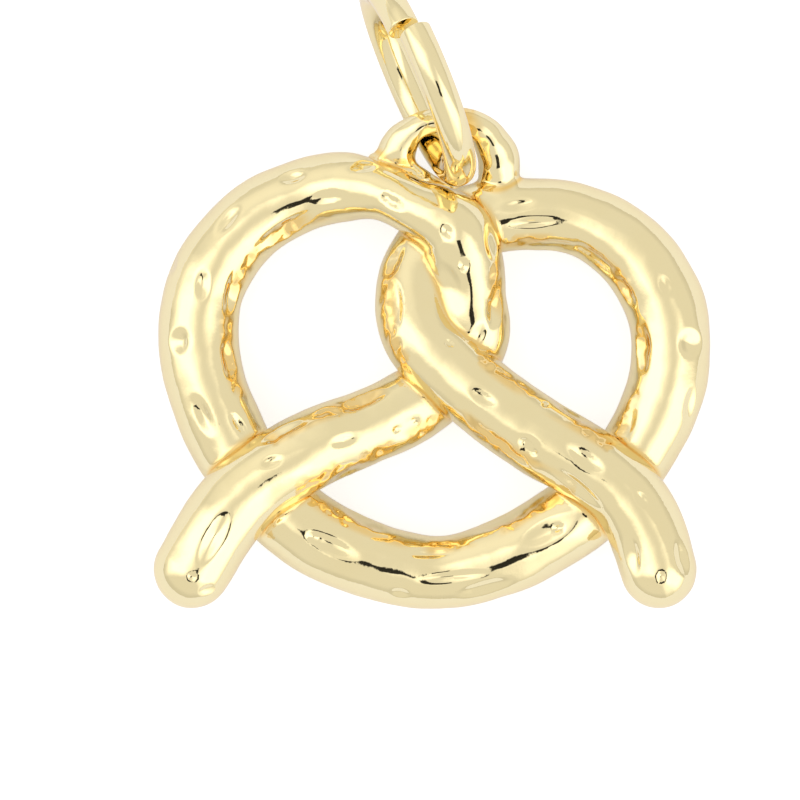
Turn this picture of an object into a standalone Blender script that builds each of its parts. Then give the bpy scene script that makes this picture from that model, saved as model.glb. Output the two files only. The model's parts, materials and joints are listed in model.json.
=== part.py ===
"""Pretzel charm: a cast metal pretzel with a hanging loop, and one split jump ring through the loop.

Metres, +Z up. The charm lies on its back with its shown face up and the loop towards +Y. The
origin is under the middle of the whole piece, on the surface it lies on.
"""

import math
from typing import NamedTuple

import bmesh
import bpy
from mathutils import Matrix, Vector

MM = 0.001

# Rope
ROPE_STEP = 0.30
ROPE_SIDES = 20
BACK_FLAT = 0.95
DENT_FALLOFF = 1.2
CAP_RINGS = 4
CAP_SWEEP = 86.0

# Hanging loop
LOOP_STEP = 0.22
LOOP_SIDES = 12
LOOP_TOP_WIDTH = 0.68

# Jump ring
WIRE = 0.88
RING_RADIUS = 2.71
RING_SIDES = 14
RING_STEPS = 44
RING_CUT_ANGLE = 63.0
RING_CUT_GAP = 0.20
RING_CUT_OFFSET = -0.24
LOOP_CLEARANCE = 0.09
HINGE = (-0.19, 4.66, 1.70)
RING_HEADING = 113.0
RING_LEAN = 6.7

# Pale gold plating
GOLD = (0.94, 0.84, 0.55, 1.0)
GOLD_ROUGHNESS = 0.10


class Station(NamedTuple):
    """A point on the rope's middle line, in mm: its place seen from above, width and lift."""

    x: float
    y: float
    width: float
    lift: float

    def middle(self):
        """Return the place of the rope's middle, which lies lower than half its width at rest."""
        return self.x, self.y, BACK_FLAT * self.width / 2 + self.lift


class Dent(NamedTuple):
    """A hammered oblong dent, in mm and degrees: its middle, size, turn from +X and depth."""

    x: float
    y: float
    length: float
    width: float
    turn: float
    depth: float


class Strand(NamedTuple):
    """A run of the rope: its stations and the dents in it."""

    stations: tuple
    dents: tuple


LEFT_ARM = Strand(
    stations=(
        Station(-6.58, -7.50, 2.10, 0.98),
        Station(-5.62, -5.95, 2.16, 1.00),
        Station(-4.95, -5.24, 2.10, 1.02),
        Station(-3.94, -4.57, 2.12, 0.98),
        Station(-3.02, -4.10, 2.10, 0.84),
        Station(-1.98, -3.70, 2.04, 0.62),
        Station(-0.90, -3.21, 2.04, 0.38),
        Station(0.03, -2.58, 2.02, 0.14),
        Station(0.78, -1.77, 2.00, 0.20),
        Station(1.03, -1.09, 2.00, 0.46),
        Station(0.94, -0.19, 1.98, 0.64),
        Station(0.84, 0.68, 2.08, 0.80),
        Station(0.49, 1.68, 2.06, 0.95),
        Station(-0.62, 2.34, 1.54, 1.24),
        Station(-1.40, 2.70, 1.54, 0.92),
    ),
    dents=(
        Dent(-5.98, -6.63, 1.50, 0.60, 62.0, 0.10),
        Dent(-4.35, -6.03, 1.20, 0.50, 40.0, 0.07),
        Dent(-2.45, -4.02, 0.70, 0.45, 15.0, 0.06),
        Dent(-1.98, -2.96, 1.40, 0.45, 20.0, 0.08),
        Dent(-0.73, -3.61, 1.20, 0.65, 28.0, 0.07),
        Dent(0.46, 0.22, 1.30, 0.85, 108.0, 0.09),
        Dent(-1.14, 2.47, 0.70, 0.40, 150.0, 0.06),
    ),
)
LEFT_LOBE = Strand(
    stations=(
        Station(-2.31, 2.88, 1.86, 0.40),
        Station(-3.37, 2.74, 1.96, 0.06),
        Station(-5.16, 1.77, 2.06, 0.00),
        Station(-6.28, 0.08, 2.16, 0.00),
        Station(-6.41, -1.58, 2.20, 0.00),
        Station(-5.87, -3.45, 2.20, 0.00),
        Station(-4.86, -5.14, 2.14, 0.00),
        Station(-3.56, -6.39, 2.16, 0.00),
        Station(-2.04, -7.15, 2.12, 0.00),
    ),
    dents=(
        Dent(-2.91, 2.58, 1.00, 0.45, 8.0, 0.06),
        Dent(-3.86, 3.15, 0.75, 0.40, 15.0, 0.07),
        Dent(-4.35, 1.58, 1.60, 0.55, 40.0, 0.07),
        Dent(-5.62, 1.98, 1.00, 0.45, 45.0, 0.07),
        Dent(-6.30, 0.22, 0.90, 0.45, 85.0, 0.07),
        Dent(-5.52, 0.00, 1.35, 0.45, 80.0, 0.07),
        Dent(-6.93, -1.33, 0.70, 0.60, 90.0, 0.08),
        Dent(-5.60, -1.82, 1.20, 0.45, 95.0, 0.07),
        Dent(-6.30, -3.32, 1.20, 0.50, 115.0, 0.09),
        Dent(-2.77, -6.85, 1.50, 0.60, 155.0, 0.09),
        Dent(-1.93, -6.14, 1.20, 0.45, 155.0, 0.07),
    ),
)
RIGHT_LOBE = Strand(
    stations=(
        Station(0.14, -7.60, 1.98, 0.00),
        Station(2.26, -7.01, 2.12, 0.00),
        Station(3.26, -6.44, 2.14, 0.00),
        Station(4.65, -5.38, 2.12, 0.00),
        Station(5.68, -3.99, 2.10, 0.00),
        Station(6.36, -2.28, 2.16, 0.00),
        Station(6.28, -0.41, 2.20, 0.00),
        Station(5.30, 1.17, 2.12, 0.00),
        Station(3.64, 2.07, 1.94, 0.00),
    ),
    dents=(
        Dent(1.36, -7.93, 1.50, 0.55, 15.0, 0.08),
        Dent(3.04, -6.49, 1.60, 0.75, 25.0, 0.09),
        Dent(5.71, -1.47, 1.40, 0.45, 95.0, 0.07),
        Dent(6.93, -1.36, 0.70, 0.70, 90.0, 0.09),
        Dent(6.93, -3.04, 1.00, 0.45, 80.0, 0.06),
        Dent(4.35, 1.00, 1.70, 0.45, 145.0, 0.07),
    ),
)
RIGHT_ARM = Strand(
    stations=(
        Station(2.72, 2.15, 1.96, 0.00),
        Station(1.77, 2.09, 1.98, 0.00),
        Station(0.82, 1.88, 2.02, 0.00),
        Station(0.03, 1.36, 2.02, 0.10),
        Station(-0.46, 0.57, 2.02, 0.30),
        Station(-0.60, -0.30, 2.06, 0.60),
        Station(-0.35, -1.25, 2.06, 0.86),
        Station(0.38, -2.01, 2.06, 0.97),
        Station(1.77, -3.18, 2.14, 0.98),
        Station(2.83, -3.89, 2.14, 1.00),
        Station(3.61, -4.35, 2.12, 1.03),
        Station(4.40, -4.84, 2.06, 1.06),
        Station(5.05, -5.35, 2.06, 1.04),
        Station(5.52, -5.98, 2.10, 1.02),
        Station(5.84, -6.74, 2.10, 1.00),
        Station(6.06, -7.50, 2.12, 0.98),
    ),
    dents=(
        Dent(-1.06, -0.33, 1.20, 0.45, 92.0, 0.08),
        Dent(1.30, -2.83, 0.90, 0.45, 145.0, 0.06),
        Dent(2.50, -4.18, 0.75, 0.65, 140.0, 0.08),
        Dent(4.08, -4.48, 1.20, 0.50, 145.0, 0.09),
        Dent(5.35, -7.07, 1.10, 0.45, 100.0, 0.07),
        Dent(6.68, -7.17, 1.00, 0.45, 105.0, 0.08),
    ),
)
ROPE = (LEFT_ARM, LEFT_LOBE, RIGHT_LOBE, RIGHT_ARM)

# The loop's arch and its foot bar as middle line points: x, y, z and width in mm
LOOP_ARCH = (
    (-1.06, 3.00, 1.05, 0.95),
    (-1.00, 3.90, 1.36, 0.99),
    (-0.58, 4.47, 1.66, 0.74),
    (0.33, 4.71, 1.70, LOOP_TOP_WIDTH),
    (1.26, 4.44, 1.63, 0.84),
    (1.66, 3.85, 1.34, 1.04),
    (1.74, 2.70, 1.05, 1.04),
)
LOOP_FOOT = (
    (-1.80, 3.80, 1.20, 0.50),
    (-1.39, 3.70, 1.25, 0.54),
    (-0.87, 3.46, 1.25, 0.54),
    (-0.45, 3.24, 1.20, 0.52),
    (0.00, 2.98, 1.05, 0.50),
    (0.60, 2.70, 0.95, 0.50),
    (1.20, 2.50, 0.95, 0.50),
)


def clear_scene():
    """Remove every object that the scene starts with."""
    for obj in list(bpy.data.objects):
        bpy.data.objects.remove(obj, do_unlink=True)


def make_gold(name):
    """Return a polished pale gold plating material."""
    material = bpy.data.materials.new(name)
    material.use_nodes = True
    shader = material.node_tree.nodes["Principled BSDF"]
    shader.inputs["Base Color"].default_value = GOLD
    shader.inputs["Metallic"].default_value = 1.0
    shader.inputs["Roughness"].default_value = GOLD_ROUGHNESS
    return material


def rope_points():
    """Return the rope's middle line as x, y, z and width, one point for each station."""
    return [(*station.middle(), station.width) for strand in ROPE for station in strand.stations]


def strand_near(point):
    """Return the strand with the station nearest to a point of the rope's middle line."""

    def distance(strand):
        return min(math.dist(point, station.middle()) for station in strand.stations)

    return min(ROPE, key=distance)


def dent_depth(x, y, dents):
    """Return how deep the dents press the surface in at a place seen from above."""
    depth = 0.0
    for dent in dents:
        turn = math.radians(dent.turn)
        along = (x - dent.x) * math.cos(turn) + (y - dent.y) * math.sin(turn)
        across = (y - dent.y) * math.cos(turn) - (x - dent.x) * math.sin(turn)
        reach = (2 * along / dent.length) ** 2 + (2 * across / dent.width) ** 2
        depth += dent.depth * math.exp(-DENT_FALLOFF * reach)
    return depth


def press_dents(ring, center):
    """Move the upper vertices of a ring of the rope inwards where its strand has dents."""
    dents = strand_near(center).dents
    for vert in ring:
        outward = (vert.co - center * MM).normalized()
        if outward.z > 0.0:
            vert.co -= outward * dent_depth(vert.co.x / MM, vert.co.y / MM, dents) * MM


def slopes(points):
    """Return the slope of a smooth curve through the points at each of them, by distance."""
    vectors = [Vector(point) for point in points]
    spans = [(b.xyz - a.xyz).length for a, b in zip(vectors, vectors[1:])]
    runs = [(b - a) / span for a, b, span in zip(vectors, vectors[1:], spans)]
    inner = [
        (before * span_after + after * span_before) / (span_before + span_after)
        for before, after, span_before, span_after in zip(runs, runs[1:], spans, spans[1:])
    ]
    return vectors, spans, [runs[0], *inner, runs[-1]]


def smooth_line(points, step):
    """Return points about one step apart along a smooth curve through x, y, z and width points."""
    vectors, spans, tangents = slopes(points)
    line = [vectors[0]]
    for index, span in enumerate(spans):
        count = max(1, round(span / step))
        for part in range(1, count + 1):
            t = part / count
            start, end = vectors[index], vectors[index + 1]
            lead, trail = tangents[index] * span, tangents[index + 1] * span
            line.append(
                start * (2 * t**3 - 3 * t**2 + 1)
                + lead * (t**3 - 2 * t**2 + t)
                + end * (3 * t**2 - 2 * t**3)
                + trail * (t**3 - t**2)
            )
    return line


def add_round_end(line):
    """Return the line with points of falling width that round off its last end."""
    last = line[-1]
    heading = (last.xyz - line[-2].xyz).normalized()
    radius = last.w / 2
    rounded = list(line)
    for ring in range(1, CAP_RINGS + 1):
        angle = ring * math.radians(CAP_SWEEP) / CAP_RINGS
        place = last.xyz + heading * radius * math.sin(angle)
        rounded.append(Vector((*place, last.w * math.cos(angle))))
    return rounded


def cross_frame(line, index):
    """Return the matrix that puts a circle square across the line at one of its points."""
    ahead = line[min(index + 1, len(line) - 1)].xyz
    behind = line[max(index - 1, 0)].xyz
    along = (ahead - behind).normalized()
    side = along.cross(Vector((0.0, 0.0, 1.0))).normalized()
    up = side.cross(along)
    turn = Matrix((side, up, along)).transposed().to_4x4()
    return Matrix.Translation(line[index].xyz * MM) @ turn


def make_tube(bm, line, sides, shape_ring=None):
    """Add a closed tube along the line to the mesh, one ring of vertices for each point."""
    before = None
    for index, point in enumerate(line):
        ring = bmesh.ops.create_circle(
            bm,
            cap_ends=False,
            segments=sides,
            radius=point.w / 2 * MM,
            matrix=cross_frame(line, index),
        )["verts"]
        if shape_ring:
            shape_ring(ring, point.xyz)
        edges = list(dict.fromkeys(edge for vert in ring for edge in vert.link_edges))
        if before:
            bmesh.ops.bridge_loops(bm, edges=before + edges)
        before = edges
    bmesh.ops.holes_fill(bm, edges=[edge for edge in bm.edges if edge.is_boundary], sides=0)
    bmesh.ops.recalc_face_normals(bm, faces=bm.faces)


def flatten_back(bm):
    """Press what reaches below the resting surface flat onto it."""
    for vert in bm.verts:
        vert.co.z = max(vert.co.z, 0.0)


def to_object(bm, name, material):
    """Make an object of the mesh, smooth shaded, and return it."""
    mesh = bpy.data.meshes.new(name)
    bm.to_mesh(mesh)
    bm.free()
    mesh.shade_smooth()
    mesh.materials.append(material)
    obj = bpy.data.objects.new(name, mesh)
    bpy.context.scene.collection.objects.link(obj)
    return obj


def make_rope(material):
    """Make the pretzel's rope as one tube, whose strands still run through each other."""
    line = smooth_line(rope_points(), ROPE_STEP)
    line = add_round_end(line)
    line = add_round_end(line[::-1])
    bm = bmesh.new()
    make_tube(bm, line, ROPE_SIDES, press_dents)
    flatten_back(bm)
    return to_object(bm, "pretzel", material)


def make_wire(name, points, material):
    """Make a round wire of the loop."""
    bm = bmesh.new()
    make_tube(bm, smooth_line(points, LOOP_STEP), LOOP_SIDES)
    return to_object(bm, name, material)


def unite(body, others):
    """Join a body with the other objects, and with itself where it crosses itself."""
    collection = bpy.data.collections.new("joined")
    bpy.context.scene.collection.children.link(collection)
    for obj in others:
        collection.objects.link(obj)
    union = body.modifiers.new("union", "BOOLEAN")
    union.operation = "UNION"
    union.operand_type = "COLLECTION"
    union.collection = collection
    union.solver = "EXACT"
    union.use_self = True
    graph = bpy.context.evaluated_depsgraph_get()
    joined = bpy.data.meshes.new_from_object(body.evaluated_get(graph))
    body.modifiers.clear()
    body.data = joined
    for obj in others:
        bpy.data.objects.remove(obj, do_unlink=True)
    bpy.data.collections.remove(collection)


def make_pretzel(material):
    """Make the pretzel with its cast loop as one solid."""
    rope = make_rope(material)
    arch = make_wire("arch", LOOP_ARCH, material)
    foot = make_wire("foot", LOOP_FOOT, material)
    unite(rope, [arch, foot])
    return rope


def ring_axes():
    """Return unit vectors across the ring's plane: outwards, up in the plane, and its normal."""
    heading = math.radians(RING_HEADING)
    lean = math.radians(RING_LEAN)
    outward = Vector((math.cos(heading), math.sin(heading), 0.0))
    sideways = Vector((math.sin(heading), -math.cos(heading), 0.0))
    upward = sideways * math.sin(lean) + Vector((0.0, 0.0, math.cos(lean)))
    return outward, upward, outward.cross(upward)


def ring_matrix(reach):
    """Return the ring's place: its origin at the hinge, +X to its middle, +Z along the hinge.

    The ring stands on the surface and hangs over the loop's wire, so its middle is one radius
    up and the rest of the way out from the hinge.
    """
    outward, upward, normal = ring_axes()
    middle_height = RING_RADIUS * math.cos(math.radians(RING_LEAN)) + WIRE / 2
    climb = (middle_height - HINGE[2]) / math.cos(math.radians(RING_LEAN))
    run = math.sqrt(reach**2 - climb**2)
    to_middle = (outward * run + upward * climb).normalized()
    across = normal.cross(to_middle)
    turn = Matrix((to_middle, across, normal)).transposed().to_4x4()
    return Matrix.Translation(Vector(HINGE) * MM) @ turn, math.atan2(climb, run)


def make_jump_ring(material):
    """Make the split ring of round wire, its two cut ends slightly out of line."""
    reach = RING_RADIUS - WIRE / 2 - LOOP_TOP_WIDTH / 2 - LOOP_CLEARANCE
    place, rest_angle = ring_matrix(reach)
    middle = Vector((reach, 0.0, 0.0)) * MM
    gap_angle = RING_CUT_GAP / RING_RADIUS
    start = math.radians(RING_CUT_ANGLE) - rest_angle + gap_angle / 2
    sweep = 2 * math.pi - gap_angle
    bm = bmesh.new()
    wire = bmesh.ops.create_circle(
        bm,
        cap_ends=True,
        segments=RING_SIDES,
        radius=WIRE / 2 * MM,
        matrix=Matrix.Translation(middle)
        @ Matrix.Rotation(start, 4, "Z")
        @ Matrix.Translation(Vector((RING_RADIUS, 0.0, -RING_CUT_OFFSET / 2)) * MM)
        @ Matrix.Rotation(math.pi / 2, 4, "X"),
    )["verts"]
    bmesh.ops.spin(
        bm,
        geom=wire + bm.edges[:] + bm.faces[:],
        cent=middle,
        axis=(0.0, 0.0, 1.0),
        dvec=(0.0, 0.0, RING_CUT_OFFSET / RING_STEPS * MM),
        angle=sweep,
        steps=RING_STEPS,
    )
    bmesh.ops.recalc_face_normals(bm, faces=bm.faces)
    ring = to_object(bm, "jump_ring", material)
    ring.matrix_world = place
    return ring


def main():
    """Build the charm."""
    clear_scene()
    make_pretzel(make_gold("gold_cast"))
    make_jump_ring(make_gold("gold_wire"))


if __name__ == "__main__":
    main()
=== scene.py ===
"""Pretzel charm, mirror polished and plated in pale gold, lying on a pale table under soft panels.

Sizes are in millimetres until a finished mesh is scaled to metres. The charm lies on its back:
+Z is out of the shown face and +Y runs towards the hanging loop.
"""

import json
import logging
import math
from collections.abc import Sequence
from dataclasses import dataclass, field
from enum import Enum

import bmesh
import bpy
import numpy as np
from mathutils import Matrix, Vector, noise

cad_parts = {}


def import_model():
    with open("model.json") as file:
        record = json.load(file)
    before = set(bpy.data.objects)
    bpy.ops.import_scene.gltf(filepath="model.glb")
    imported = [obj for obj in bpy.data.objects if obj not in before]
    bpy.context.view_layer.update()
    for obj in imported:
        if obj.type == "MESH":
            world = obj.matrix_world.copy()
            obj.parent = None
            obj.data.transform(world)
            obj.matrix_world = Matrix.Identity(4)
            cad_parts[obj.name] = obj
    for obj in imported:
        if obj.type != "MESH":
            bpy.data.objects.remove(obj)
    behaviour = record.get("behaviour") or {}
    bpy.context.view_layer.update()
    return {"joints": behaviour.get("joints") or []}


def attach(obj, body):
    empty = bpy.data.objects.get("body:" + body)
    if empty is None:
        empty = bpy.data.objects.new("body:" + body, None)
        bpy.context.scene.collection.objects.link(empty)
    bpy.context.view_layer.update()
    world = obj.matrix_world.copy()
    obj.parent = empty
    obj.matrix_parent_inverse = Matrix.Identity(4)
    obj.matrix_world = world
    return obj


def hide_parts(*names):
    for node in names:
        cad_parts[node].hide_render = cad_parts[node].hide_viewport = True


log = logging.getLogger("charm")

Tone = tuple[float, float, float]
Nodes = bpy.types.Nodes
Links = bpy.types.NodeLinks
Socket = bpy.types.NodeSocket

MM = 0.001
# The name of the mesh attribute that tells how deep in a seam a place lies, which sets the painted
# shade there: an orange painted reflection of the gold's own walls
SEAM_SHADE = "seam"
# A length under which a direction has no meaning
TINY = 1e-6
# Places measured at a time, so that the tables of distances stay small
BATCH = 4000
# How far round a wire's rounded end its rings lie, in degrees
CAP_ANGLES = (25.0, 48.0, 68.0, 84.0)


class WireEnd(Enum):
    """How a wire's tube is closed at its ends."""

    ROUND = "round"
    FLAT = "flat"


class PanelTone(Enum):
    """What a studio panel does to the metal that mirrors it."""

    LIGHT = "light"
    DARK = "dark"


class Pattern(Enum):
    """The noise patterns in the casting's surface, each with the shift that sets it apart."""

    LONG_WOBBLE = 0.0
    SHORT_WOBBLE = 3.0
    LOOP_WOBBLE = 5.0
    PITS = 7.0
    PIT_PATCHES = 11.0


@dataclass(frozen=True)
class Station:
    """A point on the rope's middle line seen from above, with its width and lift, in mm."""

    x: float
    y: float
    width: float
    lift: float


@dataclass(frozen=True)
class Dent:
    """A hammered oblong dent, in mm and degrees: its middle, size, turn from +X and depth."""

    x: float
    y: float
    length: float
    width: float
    turn: float
    depth: float


@dataclass(frozen=True)
class Hole:
    """One of the pretzel's holes as an ellipse, in mm: its middle and its half sizes."""

    x: float
    y: float
    half_width: float
    half_height: float


@dataclass(frozen=True)
class CalmPlace:
    """A place where the surface wobbles less, in mm: its middle and how far it reaches."""

    x: float
    y: float
    reach: float


LEFT_ARM = (
    Station(-6.58, -7.50, 2.10, 0.98),
    Station(-5.62, -5.95, 2.16, 1.00),
    Station(-4.95, -5.24, 2.10, 1.02),
    Station(-3.94, -4.57, 2.12, 0.98),
    Station(-3.02, -4.10, 2.10, 0.84),
    Station(-1.98, -3.70, 2.04, 0.62),
    Station(-0.90, -3.21, 2.04, 0.38),
    Station(0.03, -2.58, 2.02, 0.14),
    Station(0.78, -1.77, 2.00, 0.20),
    Station(1.03, -1.09, 2.00, 0.49),
    Station(0.94, -0.19, 1.98, 0.68),
    Station(0.84, 0.68, 2.08, 0.74),
    Station(0.49, 1.68, 2.06, 0.95),
    Station(-0.62, 2.34, 1.54, 1.24),
    Station(-1.40, 2.70, 1.54, 0.92),
)
LEFT_LOBE = (
    Station(-2.31, 2.88, 1.86, 0.40),
    Station(-3.37, 2.74, 1.96, 0.06),
    Station(-5.16, 1.77, 2.06, 0.00),
    Station(-6.28, 0.08, 2.16, 0.00),
    Station(-6.41, -1.58, 2.20, 0.00),
    Station(-5.87, -3.45, 2.20, 0.00),
    Station(-4.86, -5.14, 2.14, 0.00),
    Station(-3.56, -6.39, 2.16, 0.00),
    Station(-2.04, -7.15, 2.12, 0.00),
)
RIGHT_LOBE = (
    Station(0.14, -7.60, 1.98, 0.00),
    Station(2.26, -7.01, 2.12, 0.00),
    Station(3.26, -6.44, 2.14, 0.00),
    Station(4.65, -5.38, 2.12, 0.00),
    Station(5.68, -3.99, 2.10, 0.00),
    Station(6.36, -2.28, 2.16, 0.00),
    Station(6.28, -0.41, 2.20, 0.00),
    Station(5.30, 1.17, 2.12, 0.00),
    Station(3.64, 2.07, 1.94, 0.00),
)
RIGHT_ARM = (
    Station(2.72, 2.15, 1.96, 0.00),
    Station(1.77, 2.09, 1.98, 0.00),
    Station(0.82, 1.88, 2.02, 0.00),
    Station(0.03, 1.36, 2.02, 0.10),
    Station(-0.46, 0.57, 2.02, 0.30),
    Station(-0.60, -0.30, 2.06, 0.60),
    Station(-0.35, -1.25, 2.06, 0.86),
    Station(0.38, -2.01, 2.06, 0.97),
    Station(1.77, -3.18, 2.14, 0.98),
    Station(2.83, -3.89, 2.14, 1.00),
    Station(3.61, -4.35, 2.12, 1.03),
    Station(4.40, -4.84, 2.06, 1.06),
    Station(5.05, -5.35, 2.06, 1.04),
    Station(5.52, -5.98, 2.10, 1.02),
    Station(5.84, -6.74, 2.10, 1.00),
    Station(6.06, -7.50, 2.12, 0.98),
)
ROPE = LEFT_ARM + LEFT_LOBE + RIGHT_LOBE + RIGHT_ARM

# Middle line points of the loop's wires: x, y, z and width
LOOP_ARCH = (
    (-1.02, 3.20, 0.95, 0.90),
    (-0.99, 3.95, 1.36, 1.02),
    (-0.58, 4.47, 1.66, 0.74),
    (0.33, 4.71, 1.70, 0.68),
    (1.26, 4.44, 1.63, 0.84),
    (1.66, 3.85, 1.34, 1.10),
    (1.72, 2.70, 1.05, 1.08),
)
LOOP_FOOT = (
    (-1.66, 3.66, 1.22, 0.30),
    (-1.34, 3.60, 1.42, 0.54),
    (-0.87, 3.36, 1.44, 0.66),
    (-0.45, 3.16, 1.38, 0.58),
    (-0.05, 2.94, 1.10, 0.48),
    (0.60, 2.70, 0.95, 0.46),
    (1.20, 2.50, 0.95, 0.46),
)

HOLES = (
    Hole(-3.32, -0.79, 2.7, 3.6),
    Hole(3.72, -1.14, 2.6, 3.4),
    Hole(0.0, -5.30, 3.8, 2.2),
)

CALM_PLACES = (
    CalmPlace(0.95, 0.70, 1.7),
    CalmPlace(3.60, -4.50, 1.3),
    CalmPlace(-4.60, -5.20, 1.3),
)

DENTS = (
    # Left arm
    Dent(-5.98, -6.63, 1.49, 0.49, 62.0, 0.10),
    Dent(-6.58, -7.69, 0.24, 0.22, 0.0, 0.05),
    Dent(-6.17, -8.04, 0.49, 0.27, 20.0, 0.04),
    Dent(-4.35, -6.03, 1.41, 0.43, 42.0, 0.09),
    Dent(-4.43, -4.57, 0.54, 0.27, 20.0, 0.06),
    Dent(-2.45, -4.02, 0.73, 0.33, 15.0, 0.05),
    Dent(-1.98, -2.96, 1.41, 0.33, 22.0, 0.09),
    Dent(-4.16, -3.78, 1.22, 0.27, 28.0, 0.07),
    Dent(-0.73, -3.61, 1.22, 0.60, 28.0, 0.05),
    Dent(-1.01, -3.72, 0.22, 0.19, 0.0, 0.05),
    Dent(-0.52, -3.48, 0.22, 0.16, 0.0, 0.05),
    Dent(-0.38, -3.80, 0.16, 0.16, 0.0, 0.04),
    Dent(-2.31, -4.92, 1.36, 0.33, 28.0, 0.08),
    Dent(-0.08, -2.74, 0.49, 0.33, 60.0, 0.04),
    # Twist
    Dent(0.43, 0.16, 1.41, 0.76, 112.0, 0.09),
    Dent(1.52, 1.44, 1.03, 0.35, 95.0, 0.09),
    Dent(1.60, -0.41, 1.09, 0.41, 85.0, 0.09),
    Dent(0.33, 1.63, 0.43, 0.27, 120.0, 0.07),
    Dent(0.76, 0.73, 0.33, 0.24, 100.0, 0.06),
    Dent(-1.14, 2.45, 0.73, 0.33, 150.0, 0.06),
    Dent(-1.36, 2.61, 0.22, 0.19, 0.0, 0.05),
    Dent(-1.06, -0.33, 1.25, 0.35, 92.0, 0.09),
    Dent(-1.14, 0.79, 1.09, 0.33, 62.0, 0.08),
    Dent(0.38, -1.36, 0.38, 0.22, 150.0, 0.05),
    Dent(1.17, -1.17, 0.82, 0.38, 65.0, 0.05),
    # Left lobe
    Dent(-2.91, 2.58, 0.98, 0.38, 8.0, 0.05),
    Dent(-1.98, 3.40, 0.71, 0.27, 5.0, 0.05),
    Dent(-3.86, 3.15, 0.71, 0.33, 15.0, 0.07),
    Dent(-4.08, 1.74, 1.90, 0.43, 32.0, 0.09),
    Dent(-5.62, 1.98, 0.98, 0.35, 52.0, 0.07),
    Dent(-5.52, 0.00, 1.36, 0.35, 80.0, 0.09),
    Dent(-6.30, 0.22, 0.82, 0.38, 85.0, 0.07),
    Dent(-6.93, -1.33, 0.71, 0.54, 90.0, 0.08),
    Dent(-5.60, -1.82, 1.25, 0.35, 97.0, 0.09),
    Dent(-6.30, -3.32, 1.14, 0.43, 115.0, 0.09),
    Dent(-7.15, 0.76, 0.54, 0.27, 70.0, 0.04),
    Dent(-5.30, -3.59, 0.82, 0.24, 125.0, 0.06),
    # Foot
    Dent(-2.77, -6.85, 1.49, 0.46, 155.0, 0.08),
    Dent(-3.32, -6.63, 0.30, 0.24, 0.0, 0.07),
    Dent(-1.93, -6.14, 1.25, 0.33, 150.0, 0.09),
    Dent(-0.19, -7.07, 1.36, 0.27, 3.0, 0.06),
    Dent(0.54, -7.69, 1.90, 0.24, 6.0, 0.05),
    Dent(1.36, -7.99, 1.49, 0.38, 15.0, 0.06),
    Dent(-0.95, -8.15, 0.49, 0.22, 170.0, 0.04),
    Dent(3.04, -6.49, 1.58, 0.65, 25.0, 0.07),
    Dent(3.34, -6.39, 0.30, 0.24, 0.0, 0.07),
    Dent(1.82, -6.14, 1.79, 0.33, 24.0, 0.08),
    # Right lobe
    Dent(6.93, -1.36, 0.71, 0.60, 90.0, 0.09),
    Dent(5.65, -1.47, 1.41, 0.38, 93.0, 0.10),
    Dent(6.25, 0.22, 0.60, 0.33, 110.0, 0.03),
    Dent(6.93, -3.04, 0.98, 0.33, 80.0, 0.05),
    Dent(4.43, 0.84, 1.63, 0.35, 140.0, 0.09),
    Dent(5.19, 0.03, 0.87, 0.27, 122.0, 0.08),
    Dent(3.21, 1.28, 1.52, 0.27, 176.0, 0.08),
    Dent(2.26, 2.39, 0.87, 0.27, 10.0, 0.06),
    Dent(2.66, 1.90, 1.30, 0.22, 4.0, 0.06),
    Dent(5.24, -3.59, 1.09, 0.43, 70.0, 0.05),
    # Right arm
    Dent(1.30, -2.83, 0.82, 0.33, 150.0, 0.06),
    Dent(2.50, -4.18, 0.68, 0.57, 140.0, 0.07),
    Dent(2.36, -4.02, 0.19, 0.19, 0.0, 0.05),
    Dent(2.66, -4.35, 0.19, 0.16, 0.0, 0.05),
    Dent(2.99, -3.02, 0.14, 0.14, 0.0, 0.06),
    Dent(4.08, -4.48, 1.14, 0.43, 145.0, 0.08),
    Dent(3.75, -3.23, 1.41, 0.27, 148.0, 0.08),
    Dent(5.60, -5.57, 0.49, 0.27, 130.0, 0.04),
    Dent(5.35, -7.07, 1.09, 0.38, 100.0, 0.06),
    Dent(6.68, -7.17, 0.98, 0.38, 105.0, 0.07),
    Dent(6.11, -7.69, 0.33, 0.16, 90.0, 0.06),
    Dent(3.86, -5.27, 1.63, 0.33, 140.0, 0.08),
    Dent(1.90, -4.18, 1.63, 0.24, 142.0, 0.06),
)


def smooth_curve(points: np.ndarray, step: float) -> np.ndarray:
    """Run a smooth curve through points, the same way for place and width.

    Args:
        points: Rows of x, y, z and width in mm.
        step: Wanted distance between the curve's points, in mm.

    Returns:
        The curve's rows, with the same columns.
    """
    spans = np.linalg.norm(np.diff(points[:, :3], axis=0), axis=1)
    runs = np.diff(points, axis=0) / spans[:, None]
    before, after = spans[:-1, None], spans[1:, None]
    inner = (runs[:-1] * after + runs[1:] * before) / (before + after)
    slopes = np.vstack([runs[:1], inner, runs[-1:]])
    rows = [points[:1]]
    for index, span in enumerate(spans):
        count = max(1, round(span / step))
        t = (np.arange(1, count + 1) / count)[:, None]
        start, end = points[index], points[index + 1]
        lead, trail = slopes[index] * span, slopes[index + 1] * span
        rows.append(
            start * (2 * t**3 - 3 * t**2 + 1)
            + lead * (t**3 - 2 * t**2 + t)
            + end * (3 * t**2 - 2 * t**3)
            + trail * (t**3 - t**2)
        )
    return np.vstack(rows)


def soften_step(value: np.ndarray) -> np.ndarray:
    """Return numbers held between 0 and 1 and eased at both ends."""
    held = np.clip(value, 0.0, 1.0)
    return held * held * (3 - 2 * held)


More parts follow.
